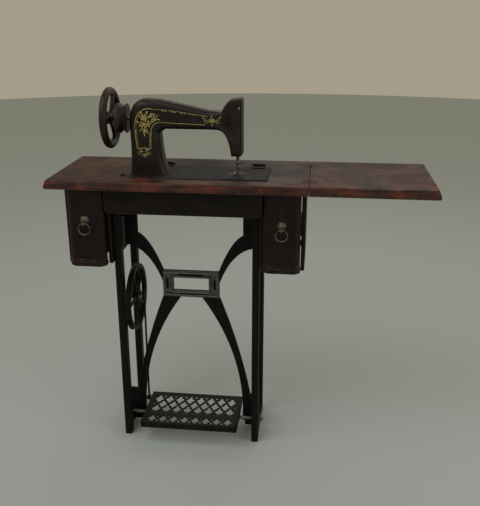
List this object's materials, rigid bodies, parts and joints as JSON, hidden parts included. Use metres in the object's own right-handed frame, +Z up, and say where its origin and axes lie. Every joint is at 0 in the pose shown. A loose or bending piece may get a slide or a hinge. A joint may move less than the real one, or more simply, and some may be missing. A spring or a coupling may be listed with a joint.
{
  "type": "treadle sewing machine",
  "caption": "Antique treadle sewing machine: black head with handwheel on a wooden table with a folding leaf, two hanging drawers and an iron stand with a rocking lattice treadle.",
  "frame": {"origin": "centre of the bounding box at floor level", "axes": "+X along the table towards the folding leaf, +Y towards the back, +Z up"},
  "size_m": [0.982, 0.308, 0.987],
  "materials": {
    "table_wood": "oiled dark walnut, worn",
    "drawer_wood": "oiled dark walnut, worn",
    "drawer_lining": "bare wood",
    "stand_iron": "black japanned, worn",
    "frame_iron": "worn grey",
    "steel": "bare, aged",
    "hinge_brass": "aged",
    "pull_metal": "dark, aged",
    "head_japan": "gloss black japanned with gilt ornament",
    "bright": "nickel plated, worn"
  },
  "bodies": {
    "stand": {"table_top": "table_wood", "leaf_hinge_fixed": "hinge_brass", "leaf_hinge_pins": "hinge_brass", "apron_front": "table_wood", "apron_rear": "table_wood", "left_drawer_case": "table_wood", "right_drawer_case": "table_wood", "left_side_frame": "stand_iron", "right_side_frame": "stand_iron", "frame_screws": "steel", "cross_brace": "stand_iron", "brace_badge_frame": "frame_iron", "brace_bolts": "steel", "treadle_rod": "steel", "treadle_rod_nuts": "steel", "wheel_axle": "steel", "bed_hinge_fixed": "steel", "bed_hinge_pins": "steel"},
    "leaf": {"table_leaf": "table_wood", "leaf_hinge_moving": "hinge_brass"},
    "left_drawer": {"left_drawer_box": "drawer_lining", "left_drawer_front": "drawer_wood", "left_drawer_plinth": "drawer_wood", "left_pull_rosette": "pull_metal"},
    "right_drawer": {"right_drawer_box": "drawer_lining", "right_drawer_front": "drawer_wood", "right_drawer_plinth": "drawer_wood", "right_pull_rosette": "pull_metal"},
    "left_ring": {"left_pull_ring": "pull_metal"},
    "right_ring": {"right_pull_ring": "pull_metal"},
    "treadle": {"treadle_plate": "stand_iron", "treadle_stud": "steel"},
    "pitman": {"pitman": "stand_iron"},
    "drive_wheel": {"drive_wheel": "stand_iron", "crank_pin": "steel"},
    "head": {"bed": "head_japan", "bed_hinge_moving": "steel", "needle_plate": "bright", "arm": "head_japan", "face_plate": "bright", "shaft_bushes": "hinge_brass", "tension_discs": "bright"},
    "slide_plate": {"slide_plate": "bright"},
    "feed_dog": {"feed_dog": "steel"},
    "handwheel": {"handwheel": "head_japan", "belt_pulley": "head_japan", "main_shaft": "steel", "needle_crank": "steel"},
    "clutch_knob": {"clutch_knob": "bright"},
    "needle_bar": {"needle_bar": "bright", "needle_clamp": "bright", "needle": "bright"},
    "presser_bar": {"presser_bar": "bright", "presser_foot": "bright"},
    "presser_lifter": {"presser_lifter": "bright"},
    "take_up": {"take_up_lever": "bright"},
    "tension_nut": {"tension_nut": "bright"},
    "upright_shaft": {"upright_shaft": "steel"},
    "hook_shaft": {"hook_shaft": "steel", "rotary_hook": "bright"}
  },
  "joints": [
    {"name": "leaf_fold", "type": "hinge", "parent": "stand", "child": "leaf", "pos_m": [0.176, 0, 0.77], "axis": [0, -1, 0], "range_deg": [0, 115]},
    {"name": "head_tilt", "type": "hinge", "parent": "stand", "child": "head", "pos_m": [0, 0.057, 0.776], "axis": [-1, 0, 0], "range_deg": [0, 85]},
    {"name": "left_drawer_slide", "type": "slide", "parent": "stand", "child": "left_drawer", "axis": [0, -1, 0], "range_m": [0, 0.15]},
    {"name": "right_drawer_slide", "type": "slide", "parent": "stand", "child": "right_drawer", "axis": [0, -1, 0], "range_m": [0, 0.15]},
    {"name": "left_ring_swing", "type": "hinge", "parent": "left_drawer", "child": "left_ring", "pos_m": [-0.3935, -0.144, 0.658], "axis": [-1, 0, 0], "range_deg": [0, 95]},
    {"name": "right_ring_swing", "type": "hinge", "parent": "right_drawer", "child": "right_ring", "pos_m": [0.1115, -0.144, 0.658], "axis": [-1, 0, 0], "range_deg": [0, 95]},
    {"name": "treadle_rock", "type": "hinge", "parent": "stand", "child": "treadle", "pos_m": [-0.141, -0.046, 0.05], "axis": [1, 0, 0], "range_deg": [-17, 17]},
    {"name": "pitman_swing", "type": "hinge", "parent": "treadle", "child": "pitman", "pos_m": [-0.288, 0.02, 0.059], "axis": [1, 0, 0], "range_deg": [-17, 17]},
    {"name": "drive_wheel_spin", "type": "hinge", "parent": "stand", "child": "drive_wheel", "pos_m": [-0.3045, -0.002, 0.4], "axis": [1, 0, 0], "continuous": true},
    {"name": "slide_plate_slide", "type": "slide", "parent": "head", "child": "slide_plate", "axis": [0, -1, 0], "range_m": [0, 0.035]},
    {"name": "feed_dog_travel", "type": "slide", "parent": "head", "child": "feed_dog", "axis": [0, 1, 0], "range_m": [-0.0015, 0.0015]},
    {"name": "handwheel_spin", "type": "hinge", "parent": "head", "child": "handwheel", "pos_m": [-0.333, -0.024, 0.909], "axis": [1, 0, 0], "continuous": true},
    {"name": "clutch_knob_turn", "type": "hinge", "parent": "handwheel", "child": "clutch_knob", "pos_m": [-0.355, -0.024, 0.909], "axis": [1, 0, 0], "range_deg": [0, 90]},
    {"name": "needle_bar_slide", "type": "slide", "parent": "head", "child": "needle_bar", "axis": [0, 0, 1], "range_m": [-0.014, 0.012]},
    {"name": "presser_bar_lift", "type": "slide", "parent": "head", "child": "presser_bar", "axis": [0, 0, 1], "range_m": [0, 0.006]},
    {"name": "presser_lifter_turn", "type": "hinge", "parent": "head", "child": "presser_lifter", "pos_m": [-0.011, 0.008, 0.847], "axis": [0, 1, 0], "range_deg": [0, 90]},
    {"name": "take_up_swing", "type": "hinge", "parent": "head", "child": "take_up", "pos_m": [-0.004, -0.037, 0.942], "axis": [1, 0, 0], "range_deg": [-14, 14]},
    {"name": "tension_nut_turn", "type": "hinge", "parent": "head", "child": "tension_nut", "pos_m": [-0.036, -0.064, 0.906], "axis": [0, 1, 0], "range_deg": [-180, 180]},
    {"name": "upright_shaft_spin", "type": "hinge", "parent": "head", "child": "upright_shaft", "pos_m": [-0.25, -0.024, 0.812], "axis": [0, 0, 1], "continuous": true},
    {"name": "hook_shaft_spin", "type": "hinge", "parent": "head", "child": "hook_shaft", "pos_m": [-0.06, -0.024, 0.742], "axis": [1, 0, 0], "continuous": true}
  ],
  "couplings": [
    {"joint": "pitman_swing", "follows": "treadle_rock", "ratio": -1},
    {"joint": "upright_shaft_spin", "follows": "handwheel_spin", "ratio": 1},
    {"joint": "hook_shaft_spin", "follows": "handwheel_spin", "ratio": 1},
    {"joint": "presser_bar_lift", "follows": "presser_lifter_turn", "m_per_rad": 0.0038},
    {"joint": "take_up_swing", "follows": "needle_bar_slide", "rad_per_m": -15}
  ]
}
